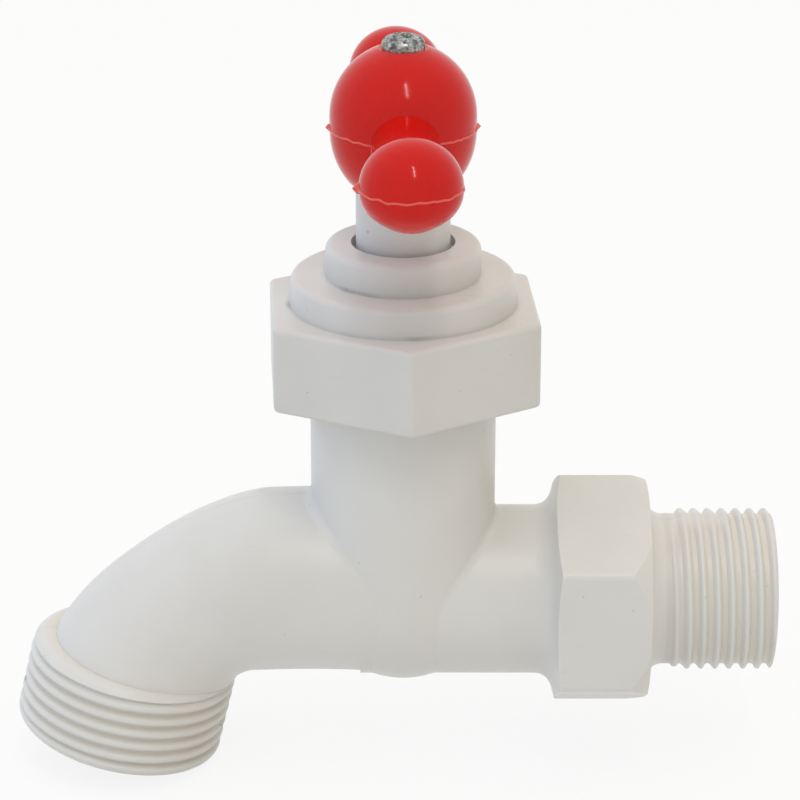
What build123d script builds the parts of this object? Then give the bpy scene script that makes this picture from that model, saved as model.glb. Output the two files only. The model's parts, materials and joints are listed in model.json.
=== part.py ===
from build123d import *
import os
from math import cos, pi, radians, sin

os.makedirs("parts", exist_ok=True)

# Plastic hose bibb with a T handle, in millimetres.
# The origin is the centre of the open inlet end: +X leaves the inlet, +Z runs up the stem,
# and the spout bends down on the -X side. The valve is closed.

# Inlet end: half inch pipe thread and hexagon
inlet_thread_d = 20.8
inlet_thread_length = 12.3
inlet_relief_depth = 0.7
inlet_lead_in = 0.4
inlet_bore_d = 13.0
inlet_hex_width = 27.7
inlet_hex_start = 16.2
inlet_hex_length = 11.3
inlet_hex_edge_round = 1.2
inlet_hex_end_over_width = 0.6
inlet_hex_bevel_slope = 1.4
relief_round = 2.2

# Tube: barrel, neck and spout are moulded as one, a little wider from part to part
barrel_d = 21.8
neck_over_barrel = 1.7
spout_over_barrel = 0.3
bend_start_over_barrel = 1.7
bend_end_over_barrel = 2.6
barrel_wall = 2.9
neck_wall = 2.85
spout_wall = 2.8
flare_length = 3.2
flare_slope = (0.35, 1)
blend_round = 1.2

# Neck that carries the bonnet
stem_axis_x = -47.5
neck_round_centre_z = 0.2
neck_top_z = 36.0
neck_thread_height = 1.2
neck_thread_length = 6.4

# Spout: level run, bend, then the hose spigot
spout_start_z = 0.2
spout_swell = 0.7
spout_rise = 0.7
run_steps = 5
bend_waist = 2.5
bend_inner_round = 4.0
bend_clear_of_neck = 6.85
bend_pivot_drop = 3.5
bend_end_tilt = 15.5
bend_steps = 5
outlet_tilt = 13.5
outlet_shift = 0.46
outlet_rise = 1.93
outlet_thread_height = 1.25
outlet_length = 12.3
outlet_shoulder_round = 2.4
outlet_lip_round = 1.4
outlet_wall = 3.95

# Valve seat and the walls round it
seat_hole_d = 9.0
seat_rim_d = 12.4
seat_top_z = 3.5
partition_top_z = 2.4
partition_under_z = 0.0
partition_wall = 2.4
under_seat_reach = 5.5

# Bonnet
bonnet_bottom_z = 28.5
bonnet_hex_wall = 3.55
bonnet_hex_height = 11.0
bonnet_hex_turn = 3.2
bonnet_corner_round = 1.1
bonnet_edge_round = 0.6
large_tier_step = 2.15
large_tier_height = 3.7
large_tier_draft = 0.35
large_tier_round = 0.8
small_tier_d = 19.4
small_tier_height = 4.2
small_tier_round = 1.0
stem_mouth_d = 13.0
stem_mouth_depth = 1.2
sleeve_bottom_z = 24.0
gasket_thickness = 1.2
gasket_inset = 0.2

# Stem
stem_d = 11.75
stem_thread_d = 13.6
stem_thread_bottom_z = 22.0
stem_thread_length = 12.0
stem_foot_d = 12.2
drive_over_split = 4.3
shoulder_under_split = 3.8
drive_width = 8.0
drive_corner_round = 0.8
lift = 4.55
o_ring_z = 41.2
o_ring_section = 1.8
pilot_d = 2.9
pilot_depth = 8.5

# Valve jumper, washer and screw
washer_thickness = 3.0
washer_d = 13.0
washer_hole_d = 3.4
jumper_disc_d = 14.0
jumper_disc_thickness = 3.0
jumper_rim_depth = 1.6
jumper_pin_d = 5.0
jumper_pin_length = 9.0
jumper_pin_tip = 0.6
washer_screw_d = 3.0
washer_screw_head_d = 6.0
washer_screw_head = 1.4
washer_screw_length = 9.0
washer_screw_hole_depth = 6.5
washer_recess_depth = 1.6

# Handle
handle_turn = 2.1
hub_d = 18.1
hub_split_z = 62.2
hub_band = 1.4
hub_skirt_drop = 6.6
hub_skirt_d = 13.8
hub_skirt_slope = (-0.8, -1)
knob_reach = 25.0
knob_d = 12.2
knob_rise = 5.9
knob_drop = 5.3
knob_waist_r = 3.6
knob_waist_drop = 4.1
arm_width = 8.3
arm_rise = 3.8
arm_drop = 3.6
arm_corner_round = 2.2
screw_flat_rise = 9.9
handle_screw_hole_d = 3.4

# Handle screw
screw_head_d = 5.3
screw_head_height = 1.7
screw_rim = 0.5
screw_shank_d = 2.8
screw_length = 13.0
screw_tip = 1.2

# Both hexagons
hex_sides = 6
hex_corner_turn = 30

# Clearances between pieces
running_gap = 0.3
thread_gap = 0.15
bore_gap = 0.125
seal_gap = 0.05
drive_gap = 0.1

# Sizes worked out from the driving dimensions
inlet_hex_end_d = inlet_hex_width + inlet_hex_end_over_width
inlet_hex_corner_d = inlet_hex_width / cos(pi / hex_sides)
under_seat_r = barrel_d / 2 - barrel_wall
neck_d = barrel_d + neck_over_barrel
neck_bore_d = neck_d - 2 * neck_wall
neck_thread_d = neck_d + 2 * neck_thread_height
spout_start_d = barrel_d + spout_over_barrel
bend_start_d = barrel_d + bend_start_over_barrel
bend_end_d = barrel_d + bend_end_over_barrel
bend_pivot_reach = neck_d / 2 + bend_clear_of_neck
bend_pivot_z = -barrel_d / 2 - bend_pivot_drop
outlet_thread_d = bend_end_d + 2 * outlet_thread_height
outlet_bore_d = outlet_thread_d - 2 * outlet_wall
bonnet_hex_width = neck_thread_d + 2 * bonnet_hex_wall
large_tier_d = bonnet_hex_width - 2 * large_tier_step
sleeve_d = neck_bore_d - 2 * running_gap
gasket_inner_d = neck_bore_d + 2 * gasket_inset

# Places worked out from the driving dimensions
inlet_hex_x = -inlet_hex_start - inlet_hex_length
hub_skirt_z = hub_split_z - hub_skirt_drop
stem_shoulder_z = hub_split_z - shoulder_under_split
stem_top_z = hub_split_z + drive_over_split
screw_flat_z = hub_split_z + screw_flat_rise
bonnet_hex_top_z = bonnet_bottom_z + bonnet_hex_height
large_tier_top_z = bonnet_hex_top_z + large_tier_height
bonnet_top_z = large_tier_top_z + small_tier_height
gasket_top_z = neck_top_z + gasket_thickness
stem_bore_d = stem_d + 2 * bore_gap
sleeve_bore_d = stem_thread_d + 2 * thread_gap
stem_thread_top_z = stem_thread_bottom_z + stem_thread_length
lift_stop_z = stem_thread_top_z + lift + running_gap
jumper_bottom_z = seat_top_z + washer_thickness
jumper_top_z = jumper_bottom_z + jumper_disc_thickness
stem_foot_z = jumper_top_z + running_gap
o_ring_centre_r = (stem_bore_d - o_ring_section) / 2 - seal_gap
o_ring_groove_r = o_ring_centre_r - o_ring_section / 2 - seal_gap
o_ring_groove_width = o_ring_section + 2 * running_gap
bend_pivot_x = stem_axis_x - bend_pivot_reach
bend_angle = 90 - bend_end_tilt
bend_start_z = bend_pivot_z + bend_inner_round + bend_start_d / 2
stem_axis = Axis((stem_axis_x, 0, 0), (0, 0, 1))
stem_plane = Plane((stem_axis_x, 0, 0), x_dir=(1, 0, 0), z_dir=(0, -1, 0))


def level(height):
    """Horizontal plane centred on the stem axis."""
    return Plane((stem_axis_x, 0, height))


def across(reach, height):
    """Upright plane across the spout, a given reach towards the spout from the stem axis."""
    return Plane((stem_axis_x - reach, 0, height), x_dir=(0, 1, 0), z_dir=(-1, 0, 0))


def bend_plane(angle, diameter):
    """Plane across the bend whose tube of this diameter touches the inner round."""
    turn = radians(angle)
    radius = bend_inner_round + diameter / 2
    centre = (bend_pivot_x - radius * sin(turn), 0, bend_pivot_z + radius * cos(turn))
    return Plane(centre, x_dir=(0, 1, 0), z_dir=(-cos(turn), 0, -sin(turn)))


def run_section(share):
    """Plane and outer diameter at a share of the level run from the stem axis to the bend."""
    swell = sin(pi * share)
    diameter = spout_start_d + (bend_start_d - spout_start_d) * share + spout_swell * swell
    height = spout_start_z + (bend_start_z - spout_start_z) * share + spout_rise * swell
    return across(bend_pivot_reach * share, height), diameter


def bend_section(share):
    """Plane and outer diameter at a share of the bend, slimmer halfway."""
    diameter = bend_start_d + (bend_end_d - bend_start_d) * share - bend_waist * sin(pi * share)
    return bend_plane(bend_angle * share, diameter), diameter


# Sections of the spout tube, from the stem axis to the spigot
spout_sections = [run_section(step / run_steps) for step in range(run_steps)]
spout_sections += [bend_section(step / bend_steps) for step in range(bend_steps + 1)]
bend_end = spout_sections[-1][0].origin
outlet_centre = Vector(bend_end.X - outlet_shift, 0, bend_end.Z + outlet_rise)
outlet_way = Vector(-sin(radians(outlet_tilt)), 0, -cos(radians(outlet_tilt)))
outlet_section = Plane(outlet_centre, x_dir=(-outlet_way.Z, 0, outlet_way.X), z_dir=(0, 1, 0))

# Body
with BuildPart() as body:
    # Spout tube
    for section_plane, section_d in spout_sections:
        with BuildSketch(section_plane):
            Circle(section_d / 2)
    loft()
    # Barrel that flares into the inlet hexagon, which stands corner up and is bevelled at its outer end
    with BuildPart(mode=Mode.PRIVATE) as barrel:
        barrel_end_x = stem_axis_x - under_seat_reach
        with BuildSketch(Plane.YZ.offset(barrel_end_x)):
            RegularPolygon(inlet_hex_width / 2, hex_sides, major_radius=False, rotation=hex_corner_turn)
        extrude(amount=-inlet_hex_start - barrel_end_x)
        fillet(barrel.edges().filter_by(Axis.X), inlet_hex_edge_round)
        with BuildSketch(Plane.XZ):
            with BuildLine():
                corner_r = inlet_hex_corner_d / 2
                bevel_end_r = inlet_hex_end_d / 2
                bevel_x = -inlet_hex_start - (corner_r - bevel_end_r) * inlet_hex_bevel_slope
                flare_x = inlet_hex_x - flare_length
                Spline((flare_x, barrel_d / 2), (inlet_hex_x, corner_r), tangents=((1, 0), flare_slope))
                Polyline((inlet_hex_x, corner_r), (bevel_x, corner_r), (-inlet_hex_start, bevel_end_r),
                         (-inlet_hex_start, 0), (barrel_end_x, 0), (barrel_end_x, barrel_d / 2),
                         (flare_x, barrel_d / 2))
            make_face()
        revolve(axis=Axis.X, mode=Mode.INTERSECT)
    add(barrel.part)
    # Neck with a rounded foot, blended into spout and barrel
    with BuildSketch(stem_plane):
        with BuildLine():
            neck_r = neck_d / 2
            Polyline((0, neck_round_centre_z - neck_r), (0, neck_top_z), (neck_r, neck_top_z),
                     (neck_r, neck_round_centre_z))
            CenterArc((0, neck_round_centre_z), neck_r, -90, 90)
        make_face()
    revolve(axis=stem_axis)
    fillet(body.edges(Select.NEW), blend_round)
    # Inlet thread at its crest diameter, with a relief beside the hexagon
    with BuildSketch(Plane.XZ):
        with BuildLine():
            thread_r = inlet_thread_d / 2
            relief_r = thread_r - inlet_relief_depth
            round_x = -inlet_hex_start + relief_round
            Polyline((round_x, relief_r), (-inlet_thread_length, relief_r), (-inlet_thread_length, thread_r),
                     (-inlet_lead_in, thread_r), (0, thread_r - inlet_lead_in), (0, 0),
                     (-inlet_hex_start, 0), (-inlet_hex_start, relief_r + relief_round))
            CenterArc((round_x, relief_r + relief_round), relief_round, 180, 90)
        make_face()
    revolve(axis=Axis.X)
    # Thread band for the bonnet at its crest diameter
    with BuildSketch(level(neck_top_z - neck_thread_length)):
        Circle(neck_thread_d / 2)
    extrude(amount=neck_thread_length)
    # Hose spigot at its crest diameter, a ring with a rounded shoulder and lip
    with BuildSketch(outlet_section):
        with BuildLine():
            spigot_r = outlet_thread_d / 2
            shoulder_r = spigot_r - outlet_shoulder_round
            lip_r = spigot_r - outlet_lip_round
            lip_y = outlet_length - outlet_lip_round
            CenterArc((shoulder_r, outlet_shoulder_round), outlet_shoulder_round, -90, 90)
            Line((spigot_r, outlet_shoulder_round), (spigot_r, lip_y))
            CenterArc((lip_r, lip_y), outlet_lip_round, 0, 90)
            outlet_bore_r = outlet_bore_d / 2
            Polyline((lip_r, outlet_length), (outlet_bore_r, outlet_length), (outlet_bore_r, 0),
                     (shoulder_r, 0))
        make_face()
    revolve(axis=Axis(outlet_centre, outlet_way))
    # Inlet bore and the passage under the seat
    inlet_bore_end = stem_axis_x + neck_bore_d / 2 + partition_wall
    with BuildSketch(Plane.YZ.offset(inlet_bore_end)):
        Circle(inlet_bore_d / 2)
    extrude(amount=-inlet_bore_end, mode=Mode.SUBTRACT)
    with BuildSketch(Plane.YZ.offset(stem_axis_x - under_seat_reach)):
        Circle(under_seat_r)
        with Locations((0, partition_under_z)):
            Rectangle(2 * under_seat_r, under_seat_r, align=(Align.CENTER, Align.MIN), mode=Mode.SUBTRACT)
    extrude(amount=inlet_bore_end - stem_axis_x + under_seat_reach + partition_wall, mode=Mode.SUBTRACT)
    # Valve chamber over the partition, and the way from it into the spout
    with BuildSketch(level(partition_top_z)):
        Circle(neck_bore_d / 2)
    extrude(amount=neck_top_z - partition_top_z, mode=Mode.SUBTRACT)
    with BuildSketch(across(0, spout_start_z)):
        Circle(spout_start_d / 2 - spout_wall)
        with Locations((0, spout_start_z - partition_top_z)):
            Rectangle(spout_start_d, spout_start_d, align=(Align.CENTER, Align.MIN), mode=Mode.SUBTRACT)
    extrude(amount=bend_pivot_reach / 2, mode=Mode.SUBTRACT)
    for section_plane, section_d in spout_sections[2:]:
        with BuildSketch(section_plane):
            Circle(section_d / 2 - spout_wall)
    loft(mode=Mode.SUBTRACT)
    # Raised seat with its hole
    with BuildSketch(level(partition_top_z)):
        Circle(seat_rim_d / 2)
    extrude(amount=seat_top_z - partition_top_z)
    with BuildSketch(level(partition_under_z)):
        Circle(seat_hole_d / 2)
    extrude(amount=seat_top_z - partition_under_z, mode=Mode.SUBTRACT)
body.part.label = "body"
export_step(body.part, "parts/body.step")

# Bonnet: hex cap with two round tiers and a sleeve that carries the stem's thread
with BuildPart() as bonnet:
    with BuildSketch(level(bonnet_bottom_z)):
        RegularPolygon(bonnet_hex_width / 2, hex_sides, major_radius=False,
                       rotation=bonnet_hex_turn + hex_corner_turn)
    extrude(amount=bonnet_hex_height)
    fillet(bonnet.edges().filter_by(Axis.Z), bonnet_corner_round)
    fillet(bonnet.faces().filter_by(Axis.Z).edges(), bonnet_edge_round)
    with BuildSketch(stem_plane):
        with BuildLine():
            large_r = large_tier_d / 2
            large_top_r = large_r - large_tier_draft
            tier_foot_z = bonnet_hex_top_z - bonnet_edge_round
            Polyline((0, tier_foot_z), (large_r, tier_foot_z), (large_top_r, large_tier_top_z),
                     (small_tier_d / 2, large_tier_top_z), (small_tier_d / 2, bonnet_top_z),
                     (0, bonnet_top_z), close=True)
        make_face()
    revolve(axis=stem_axis)
    tier_edges = bonnet.edges().filter_by(GeomType.CIRCLE).group_by(Axis.Z)
    fillet(tier_edges[-1], small_tier_round)
    tier_circles = bonnet.edges().filter_by(GeomType.CIRCLE)
    fillet(tier_circles.sort_by(lambda edge: abs(edge.radius - large_top_r))[0], large_tier_round)
    with BuildSketch(stem_plane):
        with BuildLine():
            skirt_r = neck_thread_d / 2 + thread_gap
            Polyline((0, bonnet_bottom_z), (skirt_r, bonnet_bottom_z), (skirt_r, gasket_top_z),
                     (sleeve_bore_d / 2, gasket_top_z), (sleeve_bore_d / 2, lift_stop_z),
                     (stem_bore_d / 2, lift_stop_z), (stem_bore_d / 2, bonnet_top_z - stem_mouth_depth),
                     (stem_mouth_d / 2, bonnet_top_z - stem_mouth_depth), (stem_mouth_d / 2, bonnet_top_z),
                     (0, bonnet_top_z), close=True)
        make_face()
    revolve(axis=stem_axis, mode=Mode.SUBTRACT)
    with BuildSketch(level(sleeve_bottom_z)):
        Circle(sleeve_d / 2)
        Circle(sleeve_bore_d / 2, mode=Mode.SUBTRACT)
    extrude(amount=gasket_top_z - sleeve_bottom_z)
bonnet.part.label = "bonnet"
export_step(bonnet.part, "parts/bonnet.step")

# Gasket between neck and bonnet
with BuildPart() as bonnet_gasket:
    with BuildSketch(level(neck_top_z)):
        Circle(neck_thread_d / 2)
        Circle(gasket_inner_d / 2, mode=Mode.SUBTRACT)
    extrude(amount=gasket_thickness)
bonnet_gasket.part.label = "bonnet_gasket"
export_step(bonnet_gasket.part, "parts/bonnet_gasket.step")

# Stem: foot, thread, shaft with a seal groove, square drive
with BuildPart() as stem:
    with BuildSketch(stem_plane):
        with BuildLine():
            groove_bottom_z = o_ring_z - o_ring_groove_width / 2
            groove_top_z = o_ring_z + o_ring_groove_width / 2
            Polyline((0, stem_foot_z), (stem_foot_d / 2, stem_foot_z),
                     (stem_foot_d / 2, stem_thread_bottom_z), (stem_thread_d / 2, stem_thread_bottom_z),
                     (stem_thread_d / 2, stem_thread_top_z),
                     (stem_d / 2, stem_thread_top_z), (stem_d / 2, groove_bottom_z),
                     (o_ring_groove_r, groove_bottom_z), (o_ring_groove_r, groove_top_z),
                     (stem_d / 2, groove_top_z), (stem_d / 2, stem_shoulder_z),
                     (0, stem_shoulder_z), close=True)
        make_face()
    revolve(axis=stem_axis)
    with BuildSketch(level(stem_shoulder_z).rotated((0, 0, handle_turn))):
        RectangleRounded(drive_width, drive_width, drive_corner_round)
    extrude(amount=stem_top_z - stem_shoulder_z)
    with BuildSketch(level(stem_top_z)):
        Circle(pilot_d / 2)
    extrude(amount=-pilot_depth, mode=Mode.SUBTRACT)
    with BuildSketch(level(stem_foot_z)):
        Circle(jumper_pin_d / 2 + running_gap)
    extrude(amount=jumper_pin_length + running_gap, mode=Mode.SUBTRACT)
stem.part.label = "stem"
export_step(stem.part, "parts/stem.step")

# Seal ring on the stem
with BuildPart() as stem_o_ring:
    with BuildSketch(stem_plane):
        with Locations((o_ring_centre_r, o_ring_z)):
            Circle(o_ring_section / 2)
    revolve(axis=stem_axis)
stem_o_ring.part.label = "stem_o_ring"
export_step(stem_o_ring.part, "parts/stem_o_ring.step")

# Valve jumper: cupped disc with a pin that turns in the stem's foot
with BuildPart() as valve_jumper:
    with BuildSketch(stem_plane):
        with BuildLine():
            cup_r = washer_d / 2 + bore_gap
            rim_z = jumper_bottom_z - jumper_rim_depth
            pin_top_z = jumper_top_z + jumper_pin_length
            Polyline((0, jumper_bottom_z), (cup_r, jumper_bottom_z), (cup_r, rim_z),
                     (jumper_disc_d / 2, rim_z), (jumper_disc_d / 2, jumper_top_z),
                     (jumper_pin_d / 2, jumper_top_z),
                     (jumper_pin_d / 2, pin_top_z - jumper_pin_tip),
                     (jumper_pin_d / 2 - jumper_pin_tip, pin_top_z), (0, pin_top_z), close=True)
        make_face()
    revolve(axis=stem_axis)
    with BuildSketch(level(jumper_bottom_z)):
        Circle(washer_screw_d / 2 + seal_gap)
    extrude(amount=washer_screw_hole_depth, mode=Mode.SUBTRACT)
valve_jumper.part.label = "valve_jumper"
export_step(valve_jumper.part, "parts/valve_jumper.step")

# Washer that closes on the seat, recessed below for its screw's head
with BuildPart() as seat_washer:
    with BuildSketch(level(seat_top_z)):
        Circle(washer_d / 2)
        Circle(washer_hole_d / 2, mode=Mode.SUBTRACT)
    extrude(amount=washer_thickness)
    with BuildSketch(level(seat_top_z)):
        Circle(washer_screw_head_d / 2 + running_gap)
    extrude(amount=washer_recess_depth, mode=Mode.SUBTRACT)
seat_washer.part.label = "seat_washer"
export_step(seat_washer.part, "parts/seat_washer.step")

# Screw that holds the washer
with BuildPart() as washer_screw:
    washer_screw_seat_z = seat_top_z + washer_recess_depth
    with BuildSketch(level(washer_screw_seat_z)):
        Circle(washer_screw_head_d / 2)
    extrude(amount=-washer_screw_head)
    with BuildSketch(level(washer_screw_seat_z)):
        Circle(washer_screw_d / 2)
    extrude(amount=washer_screw_length - washer_screw_head)
washer_screw.part.label = "washer_screw"
export_step(washer_screw.part, "parts/washer_screw.step")

# Handle: domed hub, two arms and two ball knobs, moulded in one with its split at hub_split_z
arm_way = Vector(sin(radians(handle_turn)), -cos(radians(handle_turn)), 0)
arm_plane = Plane((stem_axis_x, 0, hub_split_z), x_dir=(-arm_way.Y, arm_way.X, 0), z_dir=arm_way)
with BuildPart() as handle:
    with BuildSketch(stem_plane):
        with BuildLine():
            hub_r = hub_d / 2
            dome_z = hub_split_z + hub_band
            Polyline((hub_r, dome_z), (hub_r, hub_split_z))
            Spline((hub_r, hub_split_z), (hub_skirt_d / 2, hub_skirt_z), tangents=((0, -1), hub_skirt_slope))
            Polyline((hub_skirt_d / 2, hub_skirt_z), (0, hub_skirt_z), (0, dome_z + hub_r))
            CenterArc((0, dome_z), hub_r, 0, 90)
        make_face()
    revolve(axis=stem_axis)
    with BuildSketch(arm_plane) as arm_profile:
        Ellipse(arm_width / 2, arm_rise)
        Rectangle(arm_width, arm_drop, align=(Align.CENTER, Align.MAX))
        fillet(arm_profile.vertices().group_by(Axis.Y)[0], arm_corner_round)
    extrude(amount=knob_reach, both=True)
    for side in (1, -1):
        knob_centre = arm_plane.origin + arm_way * (side * knob_reach)
        knob_plane = Plane(knob_centre, x_dir=arm_plane.x_dir, z_dir=arm_way)
        with BuildSketch(knob_plane):
            with BuildLine():
                knob_r = knob_d / 2
                Line((0, knob_rise), (0, -knob_drop))
                Spline((0, -knob_drop), (knob_waist_r, -knob_waist_drop), (knob_r, 0),
                       tangents=((1, 0), (0, 1)))
                EllipticalCenterArc((0, 0), knob_r, knob_rise, start_angle=0, arc_size=90)
            make_face()
        revolve(axis=Axis(knob_centre, (0, 0, 1)))
    # Flat for the screw, its hole, and the socket for the stem
    with BuildSketch(level(screw_flat_z)):
        Circle(hub_r)
    extrude(amount=hub_r, mode=Mode.SUBTRACT)
    with BuildSketch(level(hub_skirt_z)):
        Circle(stem_d / 2 + drive_gap)
    extrude(amount=stem_shoulder_z + drive_gap - hub_skirt_z, mode=Mode.SUBTRACT)
    with BuildSketch(level(stem_shoulder_z).rotated((0, 0, handle_turn))):
        socket_width = drive_width + 2 * drive_gap
        RectangleRounded(socket_width, socket_width, drive_corner_round)
    extrude(amount=stem_top_z + drive_gap - stem_shoulder_z, mode=Mode.SUBTRACT)
    with BuildSketch(level(stem_top_z)):
        Circle(handle_screw_hole_d / 2)
    extrude(amount=screw_flat_z - stem_top_z, mode=Mode.SUBTRACT)
handle.part.label = "handle"
export_step(handle.part, "parts/handle.step")

# Round head screw that holds the handle to the stem
with BuildPart() as handle_screw:
    with BuildSketch(stem_plane):
        with BuildLine():
            head_r = screw_head_d / 2
            shank_r = screw_shank_d / 2
            tip_z = screw_flat_z - screw_length
            rim_top_z = screw_flat_z + screw_rim
            crown_z = screw_flat_z + screw_head_height
            Polyline((0, crown_z), (0, tip_z), (shank_r, tip_z + screw_tip), (shank_r, screw_flat_z),
                     (head_r, screw_flat_z), (head_r, rim_top_z))
            Bezier((head_r, rim_top_z), (head_r, crown_z), (0, crown_z))
        make_face()
    revolve(axis=stem_axis)
handle_screw.part.label = "handle_screw"
export_step(handle_screw.part, "parts/handle_screw.step")
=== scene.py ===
import json
import logging
import math
from collections.abc import Callable, Sequence
from dataclasses import dataclass, replace
from enum import Enum

import bmesh
import bpy
import numpy as np
from mathutils import Matrix, Vector, noise

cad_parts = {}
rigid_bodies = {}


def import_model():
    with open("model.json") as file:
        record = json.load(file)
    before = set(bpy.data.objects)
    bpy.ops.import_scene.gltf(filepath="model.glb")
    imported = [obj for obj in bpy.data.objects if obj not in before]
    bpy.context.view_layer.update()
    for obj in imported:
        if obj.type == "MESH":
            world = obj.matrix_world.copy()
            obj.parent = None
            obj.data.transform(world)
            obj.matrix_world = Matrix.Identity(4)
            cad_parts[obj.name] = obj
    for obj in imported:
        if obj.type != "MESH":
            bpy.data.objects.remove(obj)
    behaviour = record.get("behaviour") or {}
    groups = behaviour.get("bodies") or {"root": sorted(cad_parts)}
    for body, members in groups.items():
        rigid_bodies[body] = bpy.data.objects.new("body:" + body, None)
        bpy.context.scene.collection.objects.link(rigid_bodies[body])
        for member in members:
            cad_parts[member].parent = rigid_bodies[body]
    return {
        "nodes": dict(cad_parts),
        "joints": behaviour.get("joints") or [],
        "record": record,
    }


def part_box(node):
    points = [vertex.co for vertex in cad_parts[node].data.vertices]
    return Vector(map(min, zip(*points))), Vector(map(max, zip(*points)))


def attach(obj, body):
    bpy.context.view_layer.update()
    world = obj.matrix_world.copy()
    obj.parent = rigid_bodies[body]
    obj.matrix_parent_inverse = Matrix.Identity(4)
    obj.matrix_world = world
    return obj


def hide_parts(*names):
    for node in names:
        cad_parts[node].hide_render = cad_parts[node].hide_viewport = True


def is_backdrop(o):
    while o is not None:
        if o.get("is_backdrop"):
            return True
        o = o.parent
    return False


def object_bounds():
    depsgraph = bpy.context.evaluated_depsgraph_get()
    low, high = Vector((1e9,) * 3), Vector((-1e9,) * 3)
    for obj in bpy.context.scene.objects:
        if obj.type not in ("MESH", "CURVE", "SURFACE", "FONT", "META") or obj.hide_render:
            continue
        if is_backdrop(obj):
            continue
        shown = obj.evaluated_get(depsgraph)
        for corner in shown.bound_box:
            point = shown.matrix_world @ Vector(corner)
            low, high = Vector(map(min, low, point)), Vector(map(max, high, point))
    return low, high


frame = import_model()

LOG = logging.getLogger("hose_bibb")
MM = 0.001
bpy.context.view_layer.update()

Colour = tuple[float, float, float, float]
Triple = tuple[float, float, float]
Span = tuple[float, float]
Outline = list[tuple[Vector, Vector]]

BLACK: Colour = (0.0, 0.0, 0.0, 1.0)
WHITE: Colour = (1.0, 1.0, 1.0, 1.0)
# Grey for dirt specks, scuffs and spots, and for the painted shade in the bonnet's corner rings.
GREY_DIRT_AND_SHADE: Colour = (0.14, 0.125, 0.105, 1.0)
DARK_RED: Colour = (0.2, 0.01, 0.008, 1.0)

PIPE_V: Span = (0.1, 0.9)
PIPE_V_SHARE = 0.45
PIPE_ROUND: Span = (0.0, 0.85)
HOSE_FLANK: Span = (0.1, 0.72)
HOSE_CROWN: Span = (0.6, 1.0)
HOSE_CROWN_SHARE = 0.14


class Value:
    """A shader socket that takes part in ordinary arithmetic."""

    def __init__(self, shader: "Shader", socket: bpy.types.NodeSocket) -> None:
        """Keeps the socket and the shader that it belongs to."""
        self.shader = shader
        self.socket = socket

    def __add__(self, other: "Value | float") -> "Value":
        """Sum of the two."""
        return self.shader.math("ADD", self, other)

    def __radd__(self, other: float) -> "Value":
        """Sum, with the plain number first."""
        return self.shader.math("ADD", other, self)

    def __sub__(self, other: "Value | float") -> "Value":
        """Difference of the two."""
        return self.shader.math("SUBTRACT", self, other)

    def __rsub__(self, other: float) -> "Value":
        """Difference, with the plain number first."""
        return self.shader.math("SUBTRACT", other, self)

    def __mul__(self, other: "Value | float") -> "Value":
        """Product of the two."""
        return self.shader.math("MULTIPLY", self, other)

    def __rmul__(self, other: float) -> "Value":
        """Product, with the plain number first."""
        return self.shader.math("MULTIPLY", other, self)

    def __abs__(self) -> "Value":
        """Size without its sign."""
        return self.shader.math("ABSOLUTE", self, 0.0)


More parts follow.
